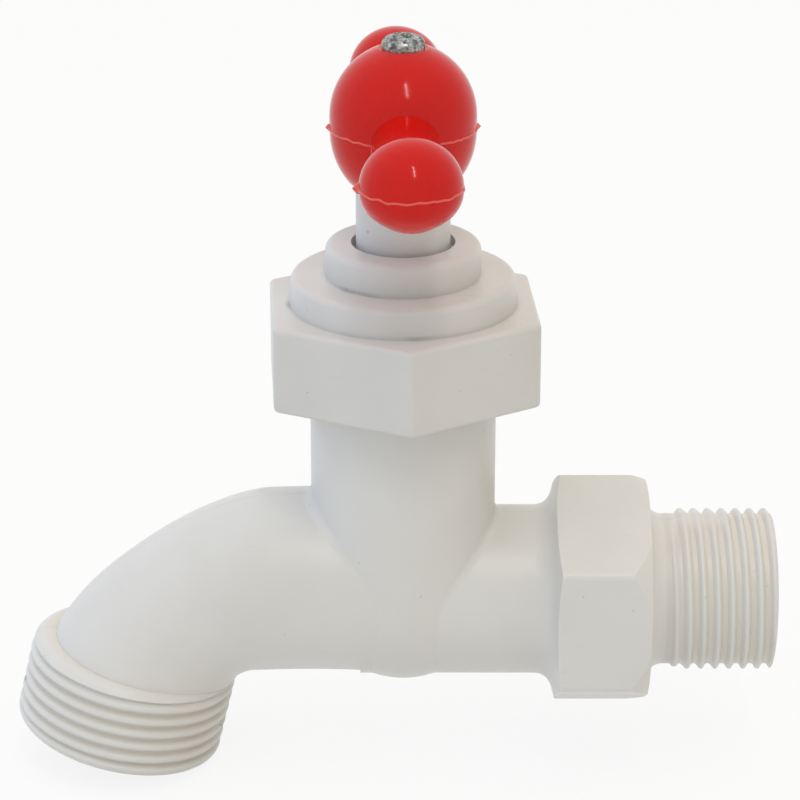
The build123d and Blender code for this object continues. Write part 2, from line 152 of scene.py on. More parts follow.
class Shader:
    """A node tree, of a material or of the world, while it is put together."""

    MIXED_COLOUR = 2

    def __init__(self, tree: bpy.types.NodeTree) -> None:
        """Empties the tree so that it holds only what is added here."""
        self.tree = tree
        self.tree.nodes.clear()

    def node(self, kind: str, settings: dict[str, object],
             inputs: dict[str | int, object]) -> bpy.types.Node:
        """Adds one node.

        Args:
            kind: Blender's name of the node type.
            settings: properties, set before the sockets.
            inputs: a number, colour or Value for each socket, by index, name or identifier.

        Returns:
            The new node.
        """
        made = self.tree.nodes.new(kind)
        for name, setting in settings.items():
            setattr(made, name, setting)
        for key, value in inputs.items():
            socket = made.inputs[key] if isinstance(key, int) else next(
                each for each in made.inputs if key in (each.identifier, each.name))
            if isinstance(value, Value):
                self.tree.links.new(value.socket, socket)
            else:
                socket.default_value = value
        return made

    def take(self, made: bpy.types.Node, output: str | int = 0) -> Value:
        """One output of a node as a Value."""
        return Value(self, made.outputs[output])

    def math(self, operation: str, first: Value | float, second: Value | float) -> Value:
        """One step of number arithmetic."""
        made = self.node("ShaderNodeMath", {"operation": operation}, {0: first, 1: second})
        return self.take(made)

    def place(self) -> Value:
        """Where a point lies in the frame, moving with its piece."""
        return self.take(self.node("ShaderNodeTexCoord", {}, {}), "Object")

    def vector(self, operation: str, *vectors: Value | Triple, output: str = "Vector") -> Value:
        """One step of vector arithmetic."""
        made = self.node("ShaderNodeVectorMath", {"operation": operation}, dict(enumerate(vectors)))
        return self.take(made, output)

    def length(self, vector: Value) -> Value:
        """Length of a vector."""
        return self.vector("LENGTH", vector, output="Value")

    def part(self, where: Value, axis: str) -> Value:
        """One coordinate of a place."""
        return self.take(self.node("ShaderNodeSeparateXYZ", {}, {0: where}), axis)

    def radius(self, where: Value, axis_x: float) -> Value:
        """Distance of a place from the upright axis at an X."""
        away = self.vector("SUBTRACT", where, (axis_x, 0.0, 0.0))
        return self.length(self.vector("MULTIPLY", away, (1.0, 1.0, 0.0)))

    def noise(self, where: Value, scale: float, detail: float = 2.0) -> Value:
        """Soft noise from 0 to 1 with about scale features to the metre."""
        made = self.node("ShaderNodeTexNoise", {},
                         {"Vector": where, "Scale": scale, "Detail": detail})
        return self.take(made)

    def ramp(self, value: Value, low: float, high: float) -> Value:
        """Smooth step from 0 at low to 1 at high."""
        made = self.node("ShaderNodeMapRange", {"interpolation_type": "SMOOTHSTEP"},
                         {"Value": value, "From Min": low, "From Max": high})
        return self.take(made)

    def mix(self, share: Value | float, first: Value | Colour, second: Value | Colour,
            blend: str = "MIX") -> Value:
        """Colour between two colours, or another blend of them."""
        made = self.node("ShaderNodeMix", {"data_type": "RGBA", "blend_type": blend},
                         {"Factor_Float": share, "A_Color": first, "B_Color": second})
        return self.take(made, self.MIXED_COLOUR)

    def add(self, first: Value | Colour, second: Value | Colour) -> Value:
        """Sum of two colours."""
        return self.mix(1.0, first, second, "ADD")

    def bump(self, height: Value, distance: float) -> Value:
        """Surface normal raised by a height that spans a distance in metres."""
        return self.take(self.node("ShaderNodeBump", {}, {"Height": height, "Distance": distance}))

    def surface(self, inputs: dict[str | int, object]) -> None:
        """Ends the tree with a Principled surface."""
        self.show(self.take(self.node("ShaderNodeBsdfPrincipled", {}, inputs)))

    def show(self, surface: Value) -> None:
        """Ends a material's tree with a surface shader."""
        self.node("ShaderNodeOutputMaterial", {}, {"Surface": surface})


def new_material(name: str) -> tuple[bpy.types.Material, Shader]:
    """Starts a node material.

    Args:
        name: name of the material.

    Returns:
        The material and the shader that fills it.
    """
    material = bpy.data.materials.new(name)
    material.use_nodes = True
    return material, Shader(material.node_tree)


def dress(piece: bpy.types.Object, material: bpy.types.Material) -> None:
    """Gives a piece one material in place of what it had."""
    piece.data.materials.clear()
    piece.data.materials.append(material)


@dataclass(frozen=True)
class Patches:
    """Soft patches cut out of noise between two of its levels."""

    scale: float
    detail: float
    low: float
    high: float

    def spread(self, where: Value) -> Value:
        """1 inside a patch, fading to 0 around it."""
        level = where.shader.noise(where, self.scale, self.detail)
        return where.shader.ramp(level, self.low, self.high)


@dataclass(frozen=True)
class Specks:
    """Scattered round specks, in cells of which only a share hold one."""

    scale: float
    size: float
    strength: float
    core: float = 0.4
    cut: float = 0.9

    def spread(self, where: Value, share: float) -> Value:
        """Amount of dirt at a place.

        Args:
            where: place of a point.
            share: share of the cells that hold a speck.

        Returns:
            The strength in a speck and 0 elsewhere.
        """
        shader = where.shader
        cells = shader.node("ShaderNodeTexVoronoi", {}, {"Vector": where, "Scale": self.scale})
        pick = shader.part(shader.take(cells, "Color"), "X")
        chosen = shader.ramp(pick, share, share * self.cut)
        speck = shader.ramp(shader.take(cells, "Distance"), self.size, self.size * self.core)
        return speck * chosen * self.strength


@dataclass(frozen=True)
class DirtAndShadeRing:
    """Dirt specks and painted shade in the corner where an upright cylinder meets a flat."""

    axis_x: float
    radius: float
    height: float
    width: float

    def spread(self, where: Value) -> Value:
        """Amount of dirt and painted shade at a place.

        Args:
            where: place of a point.

        Returns:
            1 in the corner, fading to 0 at the ring's width.
        """
        shader = where.shader
        out = shader.radius(where, self.axis_x) - self.radius
        up = shader.part(where, "Z") - self.height
        return shader.ramp(out * out + up * up, self.width ** 2, 0.0)


@dataclass(frozen=True)
class DirtSpot:
    """Small patch of ground in dirt."""

    centre: Vector
    size: float

    def spread(self, where: Value) -> Value:
        """1 at the middle of the patch, fading to 0 at its edge."""
        away = where.shader.vector("SUBTRACT", where, tuple(self.centre))
        return where.shader.ramp(where.shader.length(away), self.size, 0.0)


@dataclass(frozen=True)
class GrooveTint:
    """Warmer, darker colour towards the foot of a thread's grooves and in the corner behind it."""

    start: Vector
    way: Vector
    crest_r: float
    depth: float
    length: float
    shoulder: float
    corner: float
    first_depth: float = 0.15
    full_depth: float = 0.8
    clear_share: float = 0.6
    start_fade: float = 0.3 * MM
    end_fade: float = 0.4 * MM
    corner_share: float = 0.6

    def spread(self, where: Value) -> Value:
        """Amount of the warm, darker tint at a place.

        Args:
            where: place of a point.

        Returns:
            1 at the foot of a groove, fading to 0 at the crests.
        """
        shader = where.shader
        out = shader.vector("SUBTRACT", where, tuple(self.start))
        along = shader.vector("DOT_PRODUCT", out, tuple(self.way), output="Value")
        far = shader.length(out)
        square = shader.math("MAXIMUM", far * far - along * along, 0.0)
        high = self.crest_r - self.first_depth * self.depth
        low = self.crest_r - self.full_depth * self.depth
        groove_tint = shader.ramp(square, high ** 2, low ** 2)
        groove_tint = groove_tint * shader.ramp(along, self.clear_share * self.shoulder,
                                    self.shoulder + self.start_fade)
        groove_tint = groove_tint * shader.ramp(along, self.length, self.length - self.end_fade)
        if self.corner:
            groove_tint = groove_tint + shader.ramp(abs(along), self.corner, 0.0) * self.corner_share
        return groove_tint


@dataclass(frozen=True)
class MouldedPlastic:
    """Semi gloss injection moulded plastic with faint clouding, specks and scuffs."""

    name: str
    colour: Colour
    clouding: Colour
    dirt_and_shade_colour: Colour
    roughness: float
    glow: float
    speck_share: float
    seam_width: float = 0.0
    dirt_and_shade_rings: tuple[DirtAndShadeRing, ...] = ()
    groove_tints: tuple[GrooveTint, ...] = ()
    spots: tuple[DirtSpot, ...] = ()
    groove_colour: Colour = (0.7, 0.64, 0.54, 1.0)
    groove_share: float = 0.5
    gloss: float = 0.5
    mottle: float = 0.0
    clouds: Patches = Patches(70.0, 3.0, 0.35, 0.75)
    mottling: Patches = Patches(1900.0, 3.0, 0.42, 0.7)
    scuffs: Patches = Patches(260.0, 4.0, 0.62, 0.74)
    scuff_stretch: Triple = (1.0, 1.0, 7.0)
    scuff_tint: float = 0.025
    scuff_rough: float = 0.12
    specks: tuple[Specks, Specks] = (Specks(210.0, 0.06, 0.5), Specks(640.0, 0.11, 0.3))
    grime: Patches = Patches(130.0, 1.0, 0.52, 0.66)
    grime_grain: float = 2600.0
    grime_share: float = 0.6
    painted_shade_film: float = 0.07
    ground_in: Patches = Patches(1700.0, 3.0, 0.36, 0.56)
    dirt_and_shade_limit: float = 0.8
    grain_scale: float = 1500.0
    grain_height: float = 0.25
    grain_rough: float = 0.1
    wave_scale: float = 220.0
    seam_height: float = 3.0
    relief: float = 0.02 * MM
    glow_radius: Triple = (1.0, 1.0, 1.0)
    glow_depth: float = 0.8 * MM
    ior: float = 1.49

    def dirt_and_shade(self, where: Value) -> Value:
        """Amount of dirt and painted shade at a place.

        Args:
            where: place of a point.

        Returns:
            Specks, rings of dirt and painted shade, and spots together, up to a limit.
        """
        coarse, fine = (each.spread(where, self.speck_share) for each in self.specks)
        dirt_and_shade = coarse + fine
        if self.dirt_and_shade_rings:
            grain = where.shader.noise(where, self.grime_grain, detail=3.0)
            # Grain patches give real dirt specks; the even film is painted shade all round each
            # corner.
            dirt_and_shade_film = self.grime.spread(where) * grain * self.grime_share + self.painted_shade_film
            for ring in self.dirt_and_shade_rings:
                dirt_and_shade = dirt_and_shade + ring.spread(where) * dirt_and_shade_film
        for spot in self.spots:
            dirt_and_shade = dirt_and_shade + spot.spread(where) * self.ground_in.spread(where)
        return where.shader.math("MINIMUM", dirt_and_shade, self.dirt_and_shade_limit)

    def make(self) -> bpy.types.Material:
        """Builds the material.

        Returns:
            The finished material.
        """
        material, shader = new_material(self.name)
        where = shader.place()
        colour = shader.mix(self.clouds.spread(where), self.colour, self.clouding)
        # Warmer, darker colour towards the foot of each thread groove and in the corner behind the
        # hose thread's collar.
        for groove_tint in self.groove_tints:
            share = groove_tint.spread(where) * self.groove_share
            colour = shader.mix(share, colour, self.groove_colour)
        if self.mottle:
            share = self.mottling.spread(where) * self.mottle
            colour = shader.mix(share, colour, self.dirt_and_shade_colour)
        stretched = shader.vector("MULTIPLY", where, self.scuff_stretch)
        scuffs = self.scuffs.spread(stretched)
        colour = shader.mix(scuffs * self.scuff_tint, colour, self.dirt_and_shade_colour)
        # Dirt specks and spots darken the colour, and the corner rings add painted shade.
        colour = shader.mix(self.dirt_and_shade(where), colour, self.dirt_and_shade_colour)
        grain = shader.noise(where, self.grain_scale)
        height = grain * self.grain_height + shader.noise(where, self.wave_scale, detail=1.0)
        if self.seam_width:
            seam = shader.ramp(abs(shader.part(where, "Y")), self.seam_width, 0.0)
            height = height + seam * self.seam_height
        uneven = scuffs * self.scuff_rough + (grain - 0.5) * self.grain_rough
        shader.surface({
            "Base Color": colour,
            "Roughness": self.roughness + uneven,
            "Normal": shader.bump(height, self.relief),
            "Subsurface Weight": self.glow,
            "Subsurface Radius": self.glow_radius,
            "Subsurface Scale": self.glow_depth,
            "IOR": self.ior,
            "Specular IOR Level": self.gloss,
        })
        return material


@dataclass(frozen=True)
class ZincPlate:
    """Bright zinc plating with a crystal spangle and dark spots where it has dulled."""

    name: str
    bright: Colour
    dull: Colour
    dark: Colour
    tarnish: Patches = Patches(1100.0, 3.0, 0.5, 0.66)
    tarnish_share: float = 0.75
    tarnish_cover: float = 0.4
    spangle_scale: float = 4200.0
    grain_scale: float = 4000.0
    roughness: float = 0.28
    uneven: float = 0.2
    relief: float = 0.03 * MM

    def make(self) -> bpy.types.Material:
        """Builds the material.

        Returns:
            The finished material.
        """
        material, shader = new_material(self.name)
        where = shader.place()
        cells = shader.node("ShaderNodeTexVoronoi", {},
                            {"Vector": where, "Scale": self.spangle_scale})
        facet = shader.part(shader.take(cells, "Color"), "X")
        tarnish = self.tarnish.spread(where)
        colour = shader.mix(facet, self.bright, self.dull)
        colour = shader.mix(tarnish * self.tarnish_share, colour, self.dark)
        height = facet + shader.noise(where, self.grain_scale)
        shader.surface({
            "Base Color": colour,
            "Metallic": 1.0 - tarnish * self.tarnish_cover,
            "Roughness": self.roughness + facet * self.uneven + tarnish * self.uneven,
            "Normal": shader.bump(height, self.relief),
        })
        return material


@dataclass(frozen=True)
class MouldedRubber:
    """Matt seal rubber with a fine bloom."""

    name: str
    colour: Colour
    bloom_colour: Colour
    bloom: Patches = Patches(600.0, 4.0, 0.4, 0.8)
    bloom_share: float = 0.5
    grain_scale: float = 3000.0
    roughness: float = 0.62
    uneven: float = 0.2
    relief: float = 0.02 * MM

    def make(self) -> bpy.types.Material:
        """Builds the material.

        Returns:
            The finished material.
        """
        material, shader = new_material(self.name)
        where = shader.place()
        bloom = self.bloom.spread(where)
        shader.surface({
            "Base Color": shader.mix(bloom * self.bloom_share, self.colour, self.bloom_colour),
            "Roughness": self.roughness + bloom * self.uneven,
            "Normal": shader.bump(shader.noise(where, self.grain_scale), self.relief),
        })
        return material


@dataclass(frozen=True)
class TurnedBrass:
    """Turned brass with fine tool rings and a little tarnish."""

    name: str
    colour: Colour
    tarnish_colour: Colour
    axis_x: float
    tarnish: Patches = Patches(500.0, 3.0, 0.4, 0.75)
    tarnish_share: float = 0.6
    ring_scale: float = 42000.0
    roughness: float = 0.26
    uneven: float = 0.2
    relief: float = 0.006 * MM

    def make(self) -> bpy.types.Material:
        """Builds the material.

        Returns:
            The finished material.
        """
        material, shader = new_material(self.name)
        where = shader.place()
        age = self.tarnish.spread(where)
        rings = shader.math("SINE", shader.radius(where, self.axis_x) * self.ring_scale, 0.0)
        shader.surface({
            "Base Color": shader.mix(age * self.tarnish_share, self.colour, self.tarnish_colour),
            "Metallic": 1.0,
            "Roughness": self.roughness + age * self.uneven,
            "Normal": shader.bump(rings, self.relief),
        })
        return material


def add_object(name: str, data: bpy.types.ID) -> bpy.types.Object:
    """Links a mesh, a lamp or a camera into the scene.

    Args:
        name: name of the object.
        data: what it shows, in frame coordinates.

    Returns:
        The new object.
    """
    thing = bpy.data.objects.new(name, data)
    bpy.context.scene.collection.objects.link(thing)
    return thing


def new_mesh(name: str, points: Sequence[Sequence[float]],
             faces: list[list[int]]) -> bpy.types.Mesh:
    """Makes a mesh that is shaded smooth.

    Args:
        name: name of the mesh.
        points: its points in the frame.
        faces: the points of each face.

    Returns:
        The new mesh.
    """
    mesh = bpy.data.meshes.new(name)
    mesh.from_pydata(points, [], faces)
    mesh.shade_smooth()
    return mesh


class Skin:
    """A mesh gathered from CAD faces and new surfaces, each keeping its own smooth shading."""

    def __init__(self) -> None:
        """Starts with no points and no faces."""
        self.points: list[np.ndarray] = []
        self.faces: list[list[int]] = []
        self.normals: list[np.ndarray] = []
        self.count = 0

    def add(self, mesh: bpy.types.Mesh, keep: Callable[[np.ndarray], bool]) -> None:
        """Adds the faces of a mesh that a test keeps.

        Args:
            mesh: mesh to take faces from.
            keep: test on the corner points of a face.
        """
        points = np.array([vertex.co for vertex in mesh.vertices])
        corner_normals = np.array([corner.vector for corner in mesh.corner_normals])
        for face in mesh.polygons:
            corners = list(face.vertices)
            if keep(points[corners]):
                self.faces.append([self.count + corner for corner in corners])
                self.normals.append(corner_normals[list(face.loop_indices)])
        self.points.append(points)
        self.count += len(points)

    def finish(self, name: str) -> bpy.types.Object:
        """Makes the object.

        Args:
            name: name of the piece.

        Returns:
            The piece, without points that no face uses.
        """
        points = np.concatenate(self.points)
        used = sorted({corner for face in self.faces for corner in face})
        place = {old: new for new, old in enumerate(used)}
        faces = [[place[corner] for corner in face] for face in self.faces]
        mesh = new_mesh(name, points[used].tolist(), faces)
        mesh.normals_split_custom_set(np.concatenate(self.normals).tolist())
        return add_object(name, mesh)


def smooth_step(value: float, low: float, high: float) -> float:
    """Smooth step from 0 at low to 1 at high."""
    share = min(max((value - low) / (high - low), 0.0), 1.0)
    return share * share * (3.0 - 2.0 * share)


def spaced(first: float, last: float, count: int) -> list[float]:
    """Evenly spaced numbers from the first towards the last, which is left out."""
    return [first + (last - first) * step / count for step in range(count)]


class ThreadForm(Enum):
    """Shape of a thread's groove across one pitch."""

    PIPE = "V with rounded ridges"
    HOSE = "wide round ridge with a narrow groove"

    def groove(self, share: float) -> float:
        """Depth of the groove.

        Args:
            share: place across one pitch, with the groove at a half.

        Returns:
            0 on the ridge and 1 at the groove's bottom.
        """
        off = abs(share - 0.5) * 2.0
        if self is ThreadForm.PIPE:
            inner, outer = PIPE_V
            straight = min(max((outer - off) / (outer - inner), 0.0), 1.0)
            rounded = 1.0 - smooth_step(off, *PIPE_ROUND)
            return PIPE_V_SHARE * straight + (1.0 - PIPE_V_SHARE) * rounded
        flank = smooth_step(off, *HOSE_FLANK) * (1.0 - HOSE_CROWN_SHARE)
        return 1.0 - flank - smooth_step(off, *HOSE_CROWN) * HOSE_CROWN_SHARE


@dataclass
class MouldedThread:
    """A right hand thread moulded on a plain CAD cylinder, from its shoulder to the open end."""

    name: str
    base: Matrix
    form: ThreadForm
    crest_r: float
    core_r: float
    bore_r: float
    length: float
    depth: float
    phase: float
    start: Span
    end: Span
    start_share: float
    shoulder_round: float
    lip_round: float
    seam_fill: float
    seam_reach: Span
    seam_band: Span = (0.12, 0.45)
    lead: float = 0.0
    lead_share: float = 0.4
    pitch: float = 1.814 * MM
    rows_per_turn: int = 16
    columns: int = 144
    slack: float = 0.03 * MM
    weld: float = 0.0001 * MM
    sharp: float = math.radians(50.0)

    def rounding(self, radius: float, over: float) -> float:
        """Drop of a rounded corner at a distance into the round."""
        return radius - math.sqrt(max(radius ** 2 - max(over, 0.0) ** 2, 0.0))

    def wall(self, along: float) -> float:
        """Radius of the plain CAD wall at a distance from the shoulder."""
        shoulder = self.rounding(self.shoulder_round, self.shoulder_round - along)
        lip = self.rounding(self.lip_round, along - self.length + self.lip_round)
        return self.crest_r - shoulder - lip

    def covers(self, corners: np.ndarray) -> bool:
        """Tells which CAD faces the thread takes the place of.

        Args:
            corners: corner points of a CAD face, one to a row.

        Returns:
            Whether the face lies on the plain wall, its shoulder or its ring shaped end.
        """
        inside = np.array(self.base.inverted())
        local = corners @ inside[:3, :3].T + inside[:3, 3]
        along, out = local[:, 2], np.hypot(local[:, 0], local[:, 1])
        if along.min() < -self.slack or along.max() > self.length + self.slack:
            return False
        on_wall = np.abs(out - np.array([self.wall(each) for each in along])) < self.slack
        on_shoulder = (along < self.slack) & (out > self.core_r)
        on_end = (along > self.length - self.slack) & (out > self.bore_r - self.slack)
        return bool(on_wall.all() or on_shoulder.all() or on_end.all())

    def radius(self, along: float, turn: float) -> float:
        """Radius of the thread at a place.

        Args:
            along: distance from the shoulder.
            turn: angle about the axis, in turns.

        Returns:
            The radius there.
        """
        share = ((along - self.phase) / self.pitch - turn) % 1.0
        fade = self.start_share + (1.0 - self.start_share) * smooth_step(along, *self.start)
        fade *= 1.0 - smooth_step(along, *self.end)
        near_seam = 1.0 - smooth_step(abs(math.sin(turn * math.tau)), *self.seam_band)
        fade *= 1.0 - self.seam_fill * near_seam * (1.0 - smooth_step(along, *self.seam_reach))
        crest = self.crest_r
        if self.lead:
            grown = smooth_step(along, -self.lead, self.lead_share * self.lead)
            crest -= (self.crest_r - self.core_r) * (1.0 - grown)
        cut = crest - self.depth * fade * self.form.groove(share)
        cut = max(cut, self.core_r + 2 * self.slack)
        return min(self.wall(max(along, 0.0)), cut)

    def point(self, row: int, column: int, rows: int) -> Vector:
        """One point of the surface.

        Args:
            row: row along the thread, -1 at the shoulder's inner edge, rows + 1 at the bore.
            column: column round the axis.
            rows: last row that lies on the thread.

        Returns:
            The point in the frame.
        """
        turn = column / self.columns
        step = self.pitch / self.rows_per_turn
        along = (row + turn * self.rows_per_turn) * step - self.pitch - self.lead
        along = min(max(along, -self.lead), self.length)
        radius = self.radius(along, turn)
        if row < 0:
            along, radius = -self.lead, self.core_r
        elif row > rows:
            along, radius = self.length, self.bore_r
        angle = turn * math.tau
        return self.base @ Vector((radius * math.cos(angle), radius * math.sin(angle), along))

    def faces(self, rows: int) -> list[list[int]]:
        """Joins the rows of points, one turn further on where the helix comes round.

        Args:
            rows: last row that lies on the thread.

        Returns:
            Faces of four points each, counted from the shoulder's inner edge.
        """
        last = rows + 1
        faces: list[list[int]] = []
        for row in range(last + 1):
            for column in range(self.columns):
                after = (column + 1) % self.columns
                shift = 0 if after else self.rows_per_turn
                low = min(row + shift, last) if row else row
                high = min(row + 1 + shift, last) if row < last else row + 1
                faces.append([row * self.columns + column, low * self.columns + after,
                              high * self.columns + after, (row + 1) * self.columns + column])
        return faces

    def build(self) -> bpy.types.Mesh:
        """Makes the thread's surface, with its shoulder and its ring shaped end.

        Returns:
            A mesh whose rows of points follow the helix.
        """
        step = self.pitch / self.rows_per_turn
        rows = math.ceil((self.lead + self.length + self.pitch) / step)
        points = [self.point(row, column, rows)
                  for row in range(-1, rows + 2) for column in range(self.columns)]
        mesh = new_mesh(self.name, points, self.faces(rows))
        welded = bmesh.new()
        welded.from_mesh(mesh)
        bmesh.ops.remove_doubles(welded, verts=welded.verts, dist=self.weld)
        welded.to_mesh(mesh)
        welded.free()
        mesh.set_sharp_from_angle(angle=self.sharp)
        return mesh

    def groove_tint(self, corner: float) -> GrooveTint:
        """Warmer, darker tint in this thread's grooves, and in a corner of this width behind it."""
        return GrooveTint(self.base.to_translation(), self.base.to_3x3().col[2], self.crest_r,
                           self.depth, self.length, self.shoulder_round, corner)

    def spot(self, side: float, across: float, along: float, size: float) -> DirtSpot:
        """Dirt on the crests, placed by shares of the crest radius in two directions."""
        place = Vector((side * self.crest_r, across * self.crest_r, along))
        return DirtSpot(self.base @ place, size)


@dataclass
class TapBody:
    """White body moulding, with its two threads."""

    finish: MouldedPlastic
    inlet_crest_r: float = 10.4 * MM
    inlet_core_r: float = 9.65 * MM
    inlet_bore_r: float = 6.5 * MM
    inlet_length: float = 12.3 * MM
    inlet_depth: float = 1.15 * MM
    inlet_lead: float = 1.7 * MM
    outlet_crest_r: float = 13.45 * MM
    outlet_core_r: float = 10.6 * MM
    outlet_bore_r: float = 9.5 * MM
    outlet_length: float = 12.3 * MM
    outlet_depth: float = 0.75 * MM
    outlet_shoulder: float = 2.4 * MM
    outlet_lip: float = 1.4 * MM
    collar_tint: float = 0.4 * MM

    def threads(self) -> tuple[MouldedThread, MouldedThread]:
        """Works out the two threads from the record's mounts.

        Returns:
            The inlet's pipe thread and the outlet's hose thread.
        """
        mounts = {mount["name"]: mount for mount in frame["record"]["mounts"]}
        inlet_way = Vector(mounts["inlet_thread"]["axis"])
        inlet_end = Vector(mounts["inlet_thread"]["pos_m"])
        outlet_way = Vector(mounts["hose_thread"]["axis"])
        outlet_middle = Vector(mounts["hose_thread"]["pos_m"])
        middle = (self.outlet_shoulder + self.outlet_length - self.outlet_lip) / 2
        inlet = MouldedThread(
            "inlet_thread", self.base(inlet_end - inlet_way * self.inlet_length, inlet_way),
            ThreadForm.PIPE, crest_r=self.inlet_crest_r, core_r=self.inlet_core_r,
            bore_r=self.inlet_bore_r, length=self.inlet_length, depth=self.inlet_depth,
            phase=-0.2 * MM, start=(-0.5 * MM, 3.0 * MM), end=(13.0 * MM, 14.0 * MM),
            start_share=0.6, shoulder_round=0.0, lip_round=0.4 * MM, seam_fill=0.6,
            seam_reach=(5.6 * MM, 7.4 * MM), lead=self.inlet_lead)
        outlet = MouldedThread(
            "hose_thread", self.base(outlet_middle - outlet_way * middle, outlet_way),
            ThreadForm.HOSE, crest_r=self.outlet_crest_r, core_r=self.outlet_core_r,
            bore_r=self.outlet_bore_r, length=self.outlet_length, depth=self.outlet_depth,
            phase=1.1 * MM, start=(0.9 * MM, 1.7 * MM), end=(10.4 * MM, 11.3 * MM),
            start_share=0.0, shoulder_round=self.outlet_shoulder, lip_round=self.outlet_lip,
            seam_fill=0.4, seam_reach=(13.0 * MM, 14.0 * MM))
        return inlet, outlet

    def base(self, start: Vector, way: Vector) -> Matrix:
        """Frame of a thread.

        Args:
            start: centre of the thread's shoulder.
            way: direction of the open end.

        Returns:
            A matrix whose Z runs along the thread and whose X lies in the mould's parting plane.
        """
        across = Vector((0.0, 1.0, 0.0))
        side = across.cross(way).normalized()
        turn = Matrix((side, across, way)).transposed().to_4x4()
        return Matrix.Translation(start) @ turn

    def build(self) -> bpy.types.Object:
        """Puts the threads on the CAD body.

        Returns:
            The piece that stands for the CAD body.
        """
        threads = self.threads()
        skin = Skin()
        skin.add(frame["nodes"]["body"].data,
                 lambda corners: not any(each.covers(corners) for each in threads))
        for thread in threads:
            skin.add(thread.build(), lambda corners: True)
        piece = skin.finish("body_moulding")
        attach(piece, "tap")
        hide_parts("body")
        return piece

    def dress(self, piece: bpy.types.Object) -> None:
        """Gives the moulding its plastic, warmer and darker towards the foot of the thread grooves,
        and dirty where it was knocked.

        Args:
            piece: the moulding.
        """
        inlet, outlet = self.threads()
        groove_tints = (inlet.groove_tint(0.0), outlet.groove_tint(self.collar_tint))
        spots = (outlet.spot(side=1.0, across=0.0, along=8.4 * MM, size=1.9 * MM),
                 outlet.spot(side=-0.97, across=-0.25, along=7.0 * MM, size=0.6 * MM),
                 inlet.spot(side=1.0, across=0.0, along=8.4 * MM, size=0.9 * MM))
        dress(piece, replace(self.finish, groove_tints=groove_tints, spots=spots).make())


